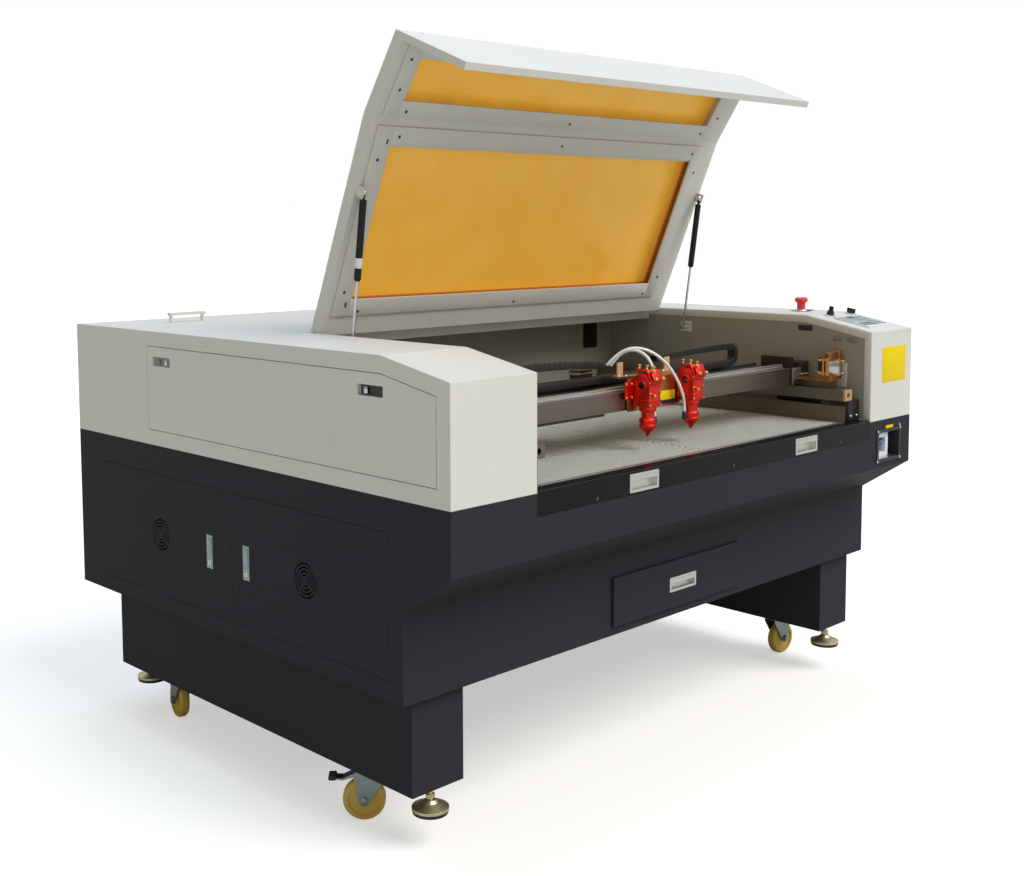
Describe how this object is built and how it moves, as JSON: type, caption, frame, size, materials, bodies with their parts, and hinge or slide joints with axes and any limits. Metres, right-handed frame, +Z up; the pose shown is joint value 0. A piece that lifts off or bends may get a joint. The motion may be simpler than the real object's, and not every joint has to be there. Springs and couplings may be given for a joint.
{
  "type": "laser cutting machine",
  "caption": "Enclosed gantry laser cutting machine on casters, with a hinged windowed lid on gas struts, paired cutting heads, a honeycomb bed and a scrap drawer.",
  "frame": {"origin": "centre of the outline on the floor", "axes": "+Z up, +X along the front to the operator's right, -Y to the operator"},
  "size_m": [1.9, 1.603, 1.8299],
  "materials": {
    "charcoal_paint": "fine texture powder coat",
    "cream_paint": "satin powder coat",
    "black_paint": "satin powder coat",
    "amber_window": "acrylic under its protective film",
    "tube_glass": "borosilicate glass",
    "rod_steel": "ground and chromed",
    "strut_black": "gloss paint",
    "beam_aluminium": "anodised",
    "guide_steel": "ground",
    "copper_mount": "bronze coloured anodising",
    "tan_bracket": "satin",
    "red_anodised": "red anodised",
    "chain_plastic": "moulded",
    "hose_white": "silicone tube",
    "breaker_plastic": "moulded",
    "toggle_blue": "moulded",
    "estop_red": "moulded",
    "zinc_plate": "yellow passivated zinc",
    "wheel_tread": "polyurethane"
  },
  "bodies": {
    "cabinet": {"base_shell": "charcoal_paint", "pedestals": "charcoal_paint", "left_upper_shell": "cream_paint", "right_upper_shell": "cream_paint", "rear_upper_shell": "cream_paint", "chamber_back_wall": "cream_paint", "table_frame": "black_paint", "honeycomb_bed": "beam_aluminium", "y_rail_beams": "beam_aluminium", "laser_tube": "tube_glass", "breaker_frame": "breaker_plastic", "keypad": "chain_plastic"},
    "front_rail": {"front_rail": "black_paint", "rail_pulls": "rod_steel"},
    "lid": {"lid_frame": "cream_paint", "lid_main_window": "amber_window", "lid_front_window": "amber_window"},
    "left_strut_cylinder": {"left_strut_cylinder": "strut_black"},
    "left_strut_rod": {"left_strut_rod": "rod_steel"},
    "right_strut_cylinder": {"right_strut_cylinder": "strut_black"},
    "right_strut_rod": {"right_strut_rod": "rod_steel"},
    "gantry": {"gantry_beam": "beam_aluminium", "gantry_guide_rail": "guide_steel", "gantry_end_plates": "beam_aluminium", "beam_mirror": "copper_mount", "x_cable_chains": "chain_plastic"},
    "carriage": {"head_plate": "beam_aluminium", "chain_brackets": "tan_bracket", "left_laser_head": "red_anodised", "right_laser_head": "red_anodised", "left_air_hose": "hose_white", "right_air_hose": "hose_white"},
    "drawer": {"scrap_drawer": "charcoal_paint", "drawer_pull": "rod_steel"},
    "left_front_door": {"left_front_door": "charcoal_paint"},
    "front_door_latch": {"front_door_latch": "rod_steel"},
    "left_rear_door": {"left_rear_door": "charcoal_paint"},
    "rear_door_latch": {"rear_door_latch": "rod_steel"},
    "left_access_panel": {"left_access_panel": "cream_paint"},
    "front_panel_lock": {"front_panel_lock": "rod_steel"},
    "rear_panel_lock": {"rear_panel_lock": "rod_steel"},
    "rear_hatch": {"rear_hatch": "cream_paint"},
    "estop_button": {"estop_button": "estop_red"},
    "key_switch": {"key_switch": "chain_plastic"},
    "selector_knob": {"selector_knob": "chain_plastic"},
    "breaker_toggle": {"breaker_toggle": "toggle_blue"},
    "front_left_caster": {"front_left_caster_fork": "zinc_plate"},
    "front_left_wheel": {"front_left_wheel": "wheel_tread"},
    "front_left_brake_pedal": {"front_left_brake_pedal": "zinc_plate"},
    "front_right_caster": {"front_right_caster_fork": "zinc_plate"},
    "front_right_wheel": {"front_right_wheel": "wheel_tread"},
    "front_right_brake_pedal": {"front_right_brake_pedal": "zinc_plate"},
    "rear_left_caster": {"rear_left_caster_fork": "zinc_plate"},
    "rear_left_wheel": {"rear_left_wheel": "wheel_tread"},
    "rear_right_caster": {"rear_right_caster_fork": "zinc_plate"},
    "rear_right_wheel": {"rear_right_wheel": "wheel_tread"},
    "front_left_foot": {"front_left_foot": "zinc_plate"},
    "front_right_foot": {"front_right_foot": "zinc_plate"},
    "rear_left_foot": {"rear_left_foot": "zinc_plate"},
    "rear_right_foot": {"rear_right_foot": "zinc_plate"}
  },
  "joints": [
    {"name": "lid_hinge", "type": "hinge", "parent": "cabinet", "child": "lid", "pos_m": [0, 0, 1.1103], "axis": [1, 0, 0], "range_deg": [0, 67.5]},
    {"name": "left_strut_swing", "type": "hinge", "parent": "lid", "child": "left_strut_cylinder", "pos_m": [-0.676, -0.20655, 1.45662], "axis": [1, 0, 0], "range_deg": [0, 13.28]},
    {"name": "left_strut_stroke", "type": "slide", "parent": "left_strut_cylinder", "child": "left_strut_rod", "axis": [0, 0.1364, -0.9906], "range_m": [-0.16542, 0]},
    {"name": "right_strut_swing", "type": "hinge", "parent": "lid", "child": "right_strut_cylinder", "pos_m": [0.695, -0.20655, 1.45662], "axis": [1, 0, 0], "range_deg": [0, 13.28]},
    {"name": "right_strut_stroke", "type": "slide", "parent": "right_strut_cylinder", "child": "right_strut_rod", "axis": [0, 0.1364, -0.9906], "range_m": [-0.16542, 0]},
    {"name": "gantry_travel", "type": "slide", "parent": "cabinet", "child": "gantry", "axis": [0, 1, 0], "range_m": [-0.03, 0.59]},
    {"name": "carriage_travel", "type": "slide", "parent": "gantry", "child": "carriage", "axis": [1, 0, 0], "range_m": [-0.4, 0.4], "deforming": ["x_cable_chains"]},
    {"name": "front_rail_fold", "type": "hinge", "parent": "cabinet", "child": "front_rail", "pos_m": [0, -0.7985, 0.751], "axis": [1, 0, 0], "range_deg": [0, 90]},
    {"name": "drawer_travel", "type": "slide", "parent": "cabinet", "child": "drawer", "axis": [0, -1, 0], "range_m": [0, 0.4]},
    {"name": "left_front_door_hinge", "type": "hinge", "parent": "cabinet", "child": "left_front_door", "pos_m": [-0.95, -0.6025, 0.561], "axis": [0, 0, 1], "range_deg": [0, 110]},
    {"name": "left_rear_door_hinge", "type": "hinge", "parent": "cabinet", "child": "left_rear_door", "pos_m": [-0.95, 0.6125, 0.561], "axis": [0, 0, 1], "range_deg": [-110, 0]},
    {"name": "front_door_latch_lever", "type": "hinge", "parent": "left_front_door", "child": "front_door_latch", "pos_m": [-0.946, -0.0735, 0.5224], "axis": [0, 1, 0], "range_deg": [-35, 0]},
    {"name": "rear_door_latch_lever", "type": "hinge", "parent": "left_rear_door", "child": "rear_door_latch", "pos_m": [-0.946, 0.0865, 0.5224], "axis": [0, 1, 0], "range_deg": [-35, 0]},
    {"name": "access_panel_fold", "type": "hinge", "parent": "cabinet", "child": "left_access_panel", "pos_m": [-0.95, 0, 0.844], "axis": [0, 1, 0], "range_deg": [-90, 0]},
    {"name": "front_panel_lock_slide", "type": "slide", "parent": "left_access_panel", "child": "front_panel_lock", "axis": [0, 1, 0], "range_m": [0, 0.01]},
    {"name": "rear_panel_lock_slide", "type": "slide", "parent": "left_access_panel", "child": "rear_panel_lock", "axis": [0, 1, 0], "range_m": [0, 0.01]},
    {"name": "rear_hatch_hinge", "type": "hinge", "parent": "cabinet", "child": "rear_hatch", "pos_m": [0, 0.7135, 1.104], "axis": [1, 0, 0], "range_deg": [-85, 0]},
    {"name": "estop_press", "type": "slide", "parent": "cabinet", "child": "estop_button", "axis": [0, 0, -1], "range_m": [0, 0.005], "stiffness_N_per_m": 900},
    {"name": "key_turn", "type": "hinge", "parent": "cabinet", "child": "key_switch", "pos_m": [0.796, -0.61582, 1.098], "axis": [0, -0.1882, 0.9821], "range_deg": [0, 90]},
    {"name": "selector_turn", "type": "hinge", "parent": "cabinet", "child": "selector_knob", "pos_m": [0.916, -0.61582, 1.098], "axis": [0, -0.1882, 0.9821], "range_deg": [-45, 45]},
    {"name": "breaker_switch", "type": "hinge", "parent": "cabinet", "child": "breaker_toggle", "pos_m": [0.801, -0.7745, 0.7265], "axis": [1, 0, 0], "range_deg": [0, 55]},
    {"name": "front_left_swivel", "type": "hinge", "parent": "cabinet", "child": "front_left_caster", "pos_m": [-0.8295, -0.4185, 0.1186], "axis": [0, 0, 1], "continuous": true},
    {"name": "front_left_roll", "type": "hinge", "parent": "front_left_caster", "child": "front_left_wheel", "pos_m": [-0.8529, -0.39668, 0.05], "axis": [-0.682, -0.7314, 0], "continuous": true},
    {"name": "front_left_brake", "type": "hinge", "parent": "front_left_caster", "child": "front_left_brake_pedal", "pos_m": [-0.8668, -0.38372, 0.1106], "axis": [-0.682, -0.7314, 0], "range_deg": [0, 12]},
    {"name": "front_right_swivel", "type": "hinge", "parent": "cabinet", "child": "front_right_caster", "pos_m": [0.8295, -0.4185, 0.1186], "axis": [0, 0, 1], "continuous": true},
    {"name": "front_right_roll", "type": "hinge", "parent": "front_right_caster", "child": "front_right_wheel", "pos_m": [0.86138, -0.42129, 0.05], "axis": [0.0872, 0.9962, 0], "continuous": true},
    {"name": "front_right_brake", "type": "hinge", "parent": "front_right_caster", "child": "front_right_brake_pedal", "pos_m": [0.88031, -0.42295, 0.1106], "axis": [0.0872, 0.9962, 0], "range_deg": [0, 12]},
    {"name": "rear_left_swivel", "type": "hinge", "parent": "cabinet", "child": "rear_left_caster", "pos_m": [-0.8295, 0.4265, 0.1186], "axis": [0, 0, 1], "continuous": true},
    {"name": "rear_left_roll", "type": "hinge", "parent": "rear_left_caster", "child": "rear_left_wheel", "pos_m": [-0.8223, 0.45768, 0.05], "axis": [-0.9744, 0.225, 0], "continuous": true},
    {"name": "rear_right_swivel", "type": "hinge", "parent": "cabinet", "child": "rear_right_caster", "pos_m": [0.8295, 0.4265, 0.1186], "axis": [0, 0, 1], "continuous": true},
    {"name": "rear_right_roll", "type": "hinge", "parent": "rear_right_caster", "child": "rear_right_wheel", "pos_m": [0.82394, 0.45801, 0.05], "axis": [-0.9848, -0.1736, 0], "continuous": true},
    {"name": "front_left_foot_height", "type": "slide", "parent": "cabinet", "child": "front_left_foot", "axis": [0, 0, -1], "range_m": [0, 0.074]},
    {"name": "front_right_foot_height", "type": "slide", "parent": "cabinet", "child": "front_right_foot", "axis": [0, 0, -1], "range_m": [0, 0.074]},
    {"name": "rear_left_foot_height", "type": "slide", "parent": "cabinet", "child": "rear_left_foot", "axis": [0, 0, -1], "range_m": [0, 0.074]},
    {"name": "rear_right_foot_height", "type": "slide", "parent": "cabinet", "child": "rear_right_foot", "axis": [0, 0, -1], "range_m": [0, 0.074]}
  ],
  "couplings": [
    {"joint": "left_strut_swing", "follows": "lid_hinge", "ratio": 0.19671},
    {"joint": "left_strut_stroke", "follows": "lid_hinge", "m_per_rad": -0.1404},
    {"joint": "right_strut_swing", "follows": "lid_hinge", "ratio": 0.19671},
    {"joint": "right_strut_stroke", "follows": "lid_hinge", "m_per_rad": -0.1404}
  ]
}
